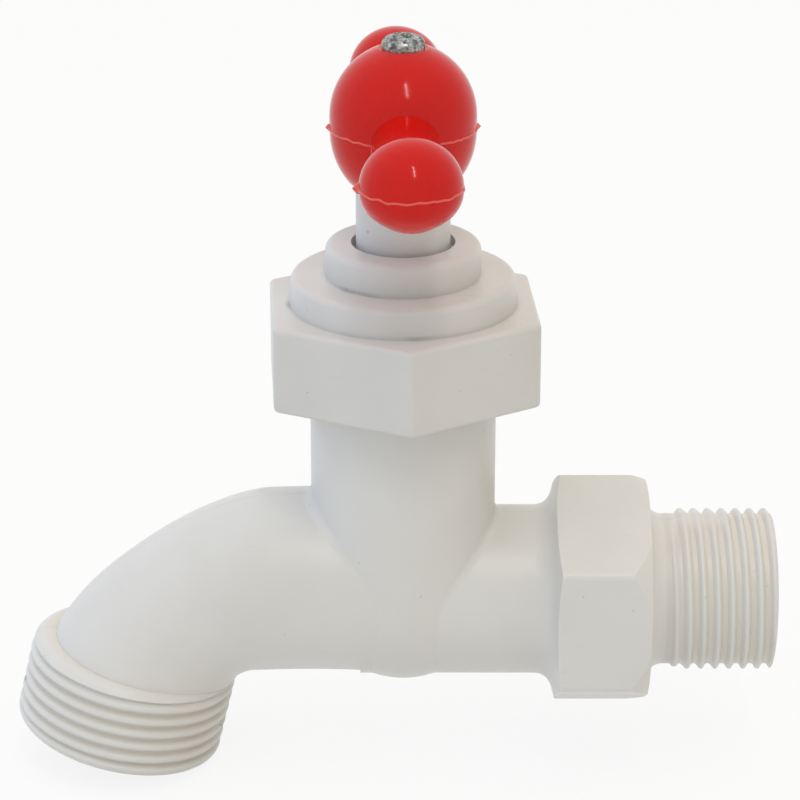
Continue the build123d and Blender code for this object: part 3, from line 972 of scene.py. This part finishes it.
@dataclass
class HandleFlash:
    """Thin uneven flash squeezed out all round the handle where its mould parts, with nubs."""

    finish: MouldedPlastic
    axis_x: float
    parting_z: float
    turn: float = math.radians(2.1)
    hub_r: float = 9.05 * MM
    arm_half: float = 4.15 * MM
    knob_r: float = 6.1 * MM
    knob_reach: float = 25.0 * MM
    proud: float = 0.2 * MM
    proud_least: float = 0.25
    proud_most: float = 2.0
    proud_mean: float = 0.7
    ragged: tuple[Span, ...] = ((420.0, 0.6), (1500.0, 0.5))
    tip_proud: float = 0.03 * MM
    thickness: float = 0.34 * MM
    sink: float = 0.25 * MM
    brow_reach: float = 0.4
    brow_rise: float = 0.75
    waver: float = 0.3 * MM
    wander: tuple[Span, ...] = ((480.0, 1.0), (900.0, 0.5))
    hub_nub: float = 0.32 * MM
    knob_nub: float = 0.6 * MM
    nub_spread: float = 0.75 * MM
    nub_rise: float = 0.9
    arc_steps: int = 110
    line_steps: int = 24

    def half_outline(self) -> Outline:
        """Half of the parting line, from the hub's side round one knob to the hub again.

        Returns:
            Pairs of a point and the way out of the handle there, with Y along the arm.
        """
        hub_angle = math.asin(self.arm_half / self.hub_r)
        knob_angle = math.asin(self.arm_half / self.knob_r)
        hub_y = self.hub_r * math.cos(hub_angle)
        knob_y = self.knob_reach - self.knob_r * math.cos(knob_angle)
        quarter = math.pi / 2
        knob = Vector((0.0, self.knob_reach, 0.0))
        return (self.arc(Vector(), self.hub_r, hub_angle - quarter, quarter - hub_angle)
                + self.side(self.arm_half, hub_y, knob_y)
                + self.arc(knob, self.knob_r, knob_angle - quarter, 3 * quarter - knob_angle)
                + self.side(-self.arm_half, knob_y, hub_y))

    def arc(self, centre: Vector, radius: float, first: float, last: float) -> Outline:
        """Points and ways out along an arc from one angle to another."""
        ways = [Vector((math.cos(angle), math.sin(angle), 0.0))
                for angle in spaced(first, last, self.arc_steps)]
        return [(centre + way * radius, way) for way in ways]

    def side(self, across: float, first: float, last: float) -> Outline:
        """Points and ways out along one side of an arm, from one place along it to another."""
        way = Vector((math.copysign(1.0, across), 0.0, 0.0))
        return [(Vector((across, place, 0.0)), way)
                for place in spaced(first, last, self.line_steps)]

    def rough(self, point: Vector, layers: tuple[Span, ...]) -> float:
        """Sum of layers of noise at a point, each with its scale and share."""
        return sum(share * noise.noise(point * scale) for scale, share in layers)

    def nub(self, point: Vector) -> float:
        """Extra reach of the flash, where a nub of it was left.

        Args:
            point: point of the parting line.

        Returns:
            The reach that the nubs add there.
        """
        nubs = ((Vector((-self.hub_r, 0.0, 0.0)), self.hub_nub),
                (Vector((self.hub_r, 0.0, 0.0)), self.hub_nub),
                (Vector((-self.knob_r, -self.knob_reach, 0.0)), self.knob_nub))
        return sum(size * math.exp(-((point - spot).length / self.nub_spread) ** 2)
                   for spot, size in nubs)

    def section(self, point: Vector, way: Vector) -> list[Vector]:
        """Rounded section of the flash at a point of the parting line.

        Args:
            point: point of the parting line.
            way: way out of the handle there.

        Returns:
            Five points, from the flash's upper root over its edge to its lower root.
        """
        ragged = max(self.rough(point, self.ragged) + self.proud_mean, self.proud_least)
        at_tip = max(abs(point.y) - self.knob_reach, 0.0) / self.knob_r
        limit = self.tip_proud + self.proud_most * self.proud * (1.0 - at_tip)
        nub = self.nub(point)
        proud = min(self.proud * ragged, limit) + nub
        brow = self.brow_reach * proud
        middle = Vector((0.0, 0.0, self.waver * self.rough(point, self.wander)))
        rise = Vector((0.0, 0.0, self.thickness / 2 + nub * self.nub_rise))
        reaches = ((-self.sink, 1.0), (brow, self.brow_rise), (proud, 0.0),
                   (brow, -self.brow_rise), (-self.sink, -1.0))
        return [point + way * reach + middle + rise * share for reach, share in reaches]

    def build(self) -> bpy.types.Object:
        """Makes the ridge.

        Returns:
            The piece, riding on the spindle.
        """
        half = self.half_outline()
        whole = half + [(-point, -way) for point, way in half]
        turn = Matrix.Rotation(self.turn, 4, "Z")
        place = Matrix.Translation((self.axis_x, 0.0, self.parting_z)) @ turn
        points = [place @ each for point, way in whole for each in self.section(point, way)]
        across = len(points) // len(whole)
        faces: list[list[int]] = []
        for index in range(len(whole)):
            after = (index + 1) % len(whole)
            for edge in range(across - 1):
                first, second = across * index + edge, across * after + edge
                faces.append([first, first + 1, second + 1, second])
        piece = add_object("handle_flash", new_mesh("handle_flash", points, faces))
        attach(piece, "spindle")
        return piece

    def dress(self, piece: bpy.types.Object) -> None:
        """Gives the flash a paler red than the handle, a painted highlight for the light caught
        along the thin fin.
        """
        dress(piece, self.finish.make())


@dataclass
class HandleScrew:
    """Round head screw with a cross recess."""

    finish: ZincPlate
    axis_x: float
    top_z: float
    head_r: float = 2.65 * MM
    rim: float = 0.5 * MM
    head_height: float = 1.7 * MM
    shank_r: float = 1.4 * MM
    length: float = 13.0 * MM
    tip: float = 1.2 * MM
    recess_reach: float = 1.35 * MM
    recess_half: float = 0.36 * MM
    recess_depth: float = 1.05 * MM
    recess_soft: float = 0.12 * MM
    recess_slope: float = 0.45
    recess_turn: float = math.radians(28.0)
    dome_rings: int = 44
    columns: int = 120
    sharp: float = math.radians(60.0)

    def profile(self) -> list[tuple[float, float]]:
        """Outline of the screw.

        Returns:
            Radius and height above the seat, from the crown down to the point.
        """
        dome: list[tuple[float, float]] = []
        for ring in range(self.dome_rings + 1):
            share = ring / self.dome_rings
            keep = 1.0 - share
            radius = self.head_r * (1.0 - keep * keep)
            dome.append((radius, self.rim + (self.head_height - self.rim) * (1.0 - share * share)))
        shank = [(self.head_r, 0.0), (self.shank_r, 0.0), (self.shank_r, self.tip - self.length),
                 (0.0, -self.length)]
        return dome + shank

    def recess(self, across: float, along: float) -> float:
        """Depth of the cross recess at a place on the head.

        Args:
            across: distance from the axis along one slot.
            along: distance from the axis along the other slot.

        Returns:
            The depth there, 0 outside the cross.
        """
        soft, half, reach = self.recess_soft, self.recess_half, self.recess_reach
        first, second = abs(across), abs(along)
        slots = [(1.0 - smooth_step(wide, half - soft, half + soft))
                 * (1.0 - smooth_step(far, reach - soft, reach + soft))
                 for wide, far in ((first, second), (second, first))]
        slope = 1.0 - self.recess_slope * max(first, second) / reach
        return self.recess_depth * max(slots) * slope

    def build(self) -> bpy.types.Object:
        """Makes the screw.

        Returns:
            The piece that stands for the CAD screw.
        """
        profile = self.profile()
        seat_z = self.top_z - self.head_height
        points: list[Triple] = []
        for radius, height in profile:
            for column in range(self.columns):
                angle = math.tau * column / self.columns
                turned = angle - self.recess_turn
                across, along = radius * math.cos(turned), radius * math.sin(turned)
                sunk = self.recess(across, along) if height > 0.0 else 0.0
                points.append((self.axis_x + radius * math.cos(angle), radius * math.sin(angle),
                               seat_z + height - sunk))
        faces: list[list[int]] = []
        for ring in range(len(profile) - 1):
            for column in range(self.columns):
                after = (column + 1) % self.columns
                faces.append([ring * self.columns + column, (ring + 1) * self.columns + column,
                              (ring + 1) * self.columns + after, ring * self.columns + after])
        mesh = new_mesh("round_head_screw", points, faces)
        mesh.set_sharp_from_angle(angle=self.sharp)
        piece = add_object("round_head_screw", mesh)
        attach(piece, "spindle")
        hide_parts("handle_screw")
        return piece

    def dress(self, piece: bpy.types.Object) -> None:
        """Gives the screw its plating."""
        dress(piece, self.finish.make())


@dataclass
class CadPieces:
    """CAD pieces shown as they are, each with its finish."""

    title: str
    nodes: tuple[str, ...]
    finish: MouldedPlastic | MouldedRubber | TurnedBrass

    def dress(self) -> None:
        """Gives every piece of the group one material."""
        material = self.finish.make()
        for name in self.nodes:
            dress(frame["nodes"][name], material)
            LOG.info("%s: %s", self.title, name)


@dataclass
class Bonnet:
    """White hex cap with two round tiers, each given by its radius and its foot's depth."""

    finish: MouldedPlastic
    axis_x: float
    top_z: float
    large_tier: Span = (14.3 * MM, 7.9 * MM)
    small_tier: Span = (9.7 * MM, 4.2 * MM)
    dirt_and_shade_width: float = 0.55 * MM

    def dress(self) -> None:
        """Gives the CAD bonnet its plastic, with a ring of dirt specks and painted shade at the
        foot of each tier.
        """
        # Each ring paints shade, with dirt specks, into the corner at a tier's foot.
        rings = tuple(DirtAndShadeRing(self.axis_x, radius, self.top_z - drop, self.dirt_and_shade_width)
                      for radius, drop in (self.large_tier, self.small_tier))
        CadPieces("bonnet", ("bonnet",), replace(self.finish, dirt_and_shade_rings=rings)).dress()


@dataclass
class Studio:
    """White table in a soft tent, one strip lamp, and the camera at the photograph's angle."""

    axis_x: float
    aim_x: float = -0.4 * MM
    aim_z: float = 26.2 * MM
    distance: float = 400.0 * MM
    elevation: float = math.radians(21.4)
    lens: float = 142.2
    sensor: float = 36.0
    floor_half: float = 3.0
    floor_gap: float = 0.3 * MM
    floor_colour: Colour = (0.86, 0.86, 0.86, 1.0)
    floor_shown: float = 0.86
    tent_all: Colour = (0.41, 0.39, 0.335, 1.0)
    tent_left: Colour = (0.1, 0.27, 0.58, 1.0)
    left_reach: Span = (0.2, -1.0)
    tent_top: Colour = (0.78, 0.7, 0.6, 1.0)
    top_reach: Span = (0.2, 1.0)
    strip_azimuth: float = math.radians(9.0)
    strip_elevation: float = math.radians(56.0)
    strip_distance: float = 0.9
    strip_size: Span = (0.04, 0.36)
    strip_power: float = 1.0

    def way(self, azimuth: float, elevation: float) -> Vector:
        """Direction from the object, with azimuth 0 in front and positive to the right."""
        level = math.cos(elevation)
        return Vector((math.sin(azimuth) * level, -math.cos(azimuth) * level, math.sin(elevation)))

    def aim(self, thing: bpy.types.Object, way: Vector, distance: float) -> None:
        """Places a lamp or camera so that it looks at the object.

        Args:
            thing: lamp or camera to place.
            way: direction from the object.
            distance: distance from the object.
        """
        target = Vector((self.axis_x + self.aim_x, 0.0, self.aim_z))
        thing.location = target + way * distance
        thing.rotation_euler = (-way).to_track_quat("-Z", "Y").to_euler()

    def shown(self, shader: Shader) -> Value:
        """Picks out the rays that show the background.

        Args:
            shader: shader that takes the nodes.

        Returns:
            1 for a ray from the camera, also by way of a mirror or glass, and 0 for a lighting ray.
        """
        path = shader.node("ShaderNodeLightPath", {}, {})
        camera, glossy, clear = (shader.take(path, f"Is {kind} Ray")
                                 for kind in ("Camera", "Glossy", "Transmission"))
        return shader.math("MAXIMUM", camera, shader.math("MAXIMUM", glossy, clear))

    def build_floor(self, lowest: float) -> None:
        """Lays the white table just under the object.

        Args:
            lowest: lowest Z of the object.
        """
        half, height = self.floor_half, lowest - self.floor_gap
        corners = [(-half, -half, height), (half, -half, height),
                   (half, half, height), (-half, half, height)]
        floor = add_object("floor", new_mesh("floor", corners, [[0, 1, 2, 3]]))
        material, shader = new_material("white_table")
        paper = shader.take(shader.node("ShaderNodeBsdfDiffuse", {}, {"Color": self.floor_colour}))
        white = shader.take(shader.node("ShaderNodeEmission", {}, {"Color": WHITE}))
        share = self.shown(shader) * self.floor_shown
        both = shader.node("ShaderNodeMixShader", {}, {0: share, 1: paper, 2: white})
        shader.show(shader.take(both))
        dress(floor, material)
        floor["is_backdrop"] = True

    def build_world(self) -> None:
        """Surrounds the object with a soft white tent, cooler on the left and warmer above."""
        world = bpy.data.worlds.new("tent")
        world.use_nodes = True
        bpy.context.scene.world = world
        shader = Shader(world.node_tree)
        way = shader.take(shader.node("ShaderNodeTexCoord", {}, {}), "Generated")
        light: Value | Colour = self.tent_all
        for axis, reach, colour in (("X", self.left_reach, self.tent_left),
                                    ("Z", self.top_reach, self.tent_top)):
            share = shader.ramp(shader.part(way, axis), *reach)
            light = shader.add(light, shader.mix(share, BLACK, colour))
        tent = shader.take(shader.node("ShaderNodeBackground", {}, {"Color": light}))
        white = shader.take(shader.node("ShaderNodeBackground", {}, {"Color": WHITE}))
        both = shader.node("ShaderNodeMixShader", {}, {0: self.shown(shader), 1: tent, 2: white})
        shader.node("ShaderNodeOutputWorld", {}, {"Surface": shader.take(both)})

    def build_strip(self) -> None:
        """Hangs the strip lamp that gives the crisp highlights."""
        data = bpy.data.lights.new("front_strip", "AREA")
        data.shape = "RECTANGLE"
        data.size, data.size_y = self.strip_size
        data.energy = self.strip_power
        way = self.way(self.strip_azimuth, self.strip_elevation)
        self.aim(add_object("front_strip", data), way, self.strip_distance)

    def build_camera(self) -> None:
        """Sets up the camera."""
        data = bpy.data.cameras.new("camera")
        data.lens = self.lens
        data.sensor_width = self.sensor
        camera = add_object("camera", data)
        self.aim(camera, self.way(0.0, self.elevation), self.distance)
        bpy.context.scene.camera = camera

    def build(self, lowest: float) -> None:
        """Sets up table, tent, lamp and camera.

        Args:
            lowest: lowest Z of the object.
        """
        self.build_floor(lowest)
        self.build_world()
        self.build_strip()
        self.build_camera()
        bpy.context.scene.view_settings.view_transform = "Standard"


def main() -> None:
    """Builds and dresses every piece, then the studio."""
    logging.basicConfig(level=logging.INFO, format="%(message)s")
    stem_low, stem_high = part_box("stem")
    axis_x = (stem_low.x + stem_high.x) / 2
    hinge = next(joint for joint in frame["joints"] if joint["name"] == "handle_turn")

    body = TapBody(MouldedPlastic(
        "white_body_plastic", (0.735, 0.73, 0.705, 1.0), (0.7, 0.69, 0.655, 1.0), GREY_DIRT_AND_SHADE,
        roughness=0.36, glow=0.12, speck_share=0.1, seam_width=0.14 * MM))
    moulding = body.build()
    body.dress(moulding)
    LOG.info("body: %s, %d faces", moulding.name, len(moulding.data.polygons))

    Bonnet(MouldedPlastic(
        "white_bonnet_plastic", (0.685, 0.68, 0.66, 1.0), (0.65, 0.64, 0.61, 1.0), GREY_DIRT_AND_SHADE,
        roughness=0.34, glow=0.12, speck_share=0.12), axis_x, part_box("bonnet")[1].z).dress()
    CadPieces("stem", ("stem", "valve_jumper"), MouldedPlastic(
        "white_stem_plastic", (0.66, 0.66, 0.65, 1.0), (0.62, 0.615, 0.6, 1.0), GREY_DIRT_AND_SHADE,
        roughness=0.38, glow=0.1, speck_share=0.12)).dress()
    CadPieces("handle", ("handle",), MouldedPlastic(
        "red_handle_plastic", (0.64, 0.007, 0.003, 1.0), (0.56, 0.005, 0.003, 1.0), DARK_RED,
        roughness=0.12, glow=0.05, speck_share=0.08, gloss=0.23, mottle=0.09)).dress()

    # The flash's paler pink red is a painted highlight: the fin is the handle's own plastic.
    flash = HandleFlash(MouldedPlastic(
        "red_flash_painted_highlight", (0.82, 0.1, 0.075, 1.0), (0.74, 0.06, 0.045, 1.0), DARK_RED,
        roughness=0.3, glow=0.05, speck_share=0.04), axis_x, hinge["pos_m"][2])
    edge = flash.build()
    flash.dress(edge)
    LOG.info("handle: %s", edge.name)

    screw = HandleScrew(ZincPlate(
        "zinc_plate", (0.52, 0.53, 0.51, 1.0), (0.19, 0.2, 0.19, 1.0), (0.06, 0.055, 0.05, 1.0)),
        axis_x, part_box("handle_screw")[1].z)
    head = screw.build()
    screw.dress(head)
    LOG.info("handle: %s", head.name)

    CadPieces("seals", ("bonnet_gasket", "stem_o_ring", "seat_washer"), MouldedRubber(
        "black_rubber", (0.018, 0.018, 0.019, 1.0), (0.06, 0.06, 0.06, 1.0))).dress()
    CadPieces("valve", ("washer_screw",), TurnedBrass(
        "turned_brass", (0.75, 0.5, 0.19, 1.0), (0.4, 0.25, 0.1, 1.0), axis_x)).dress()

    low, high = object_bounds()
    Studio(axis_x).build(low[2])


if __name__ == "__main__":
    main()
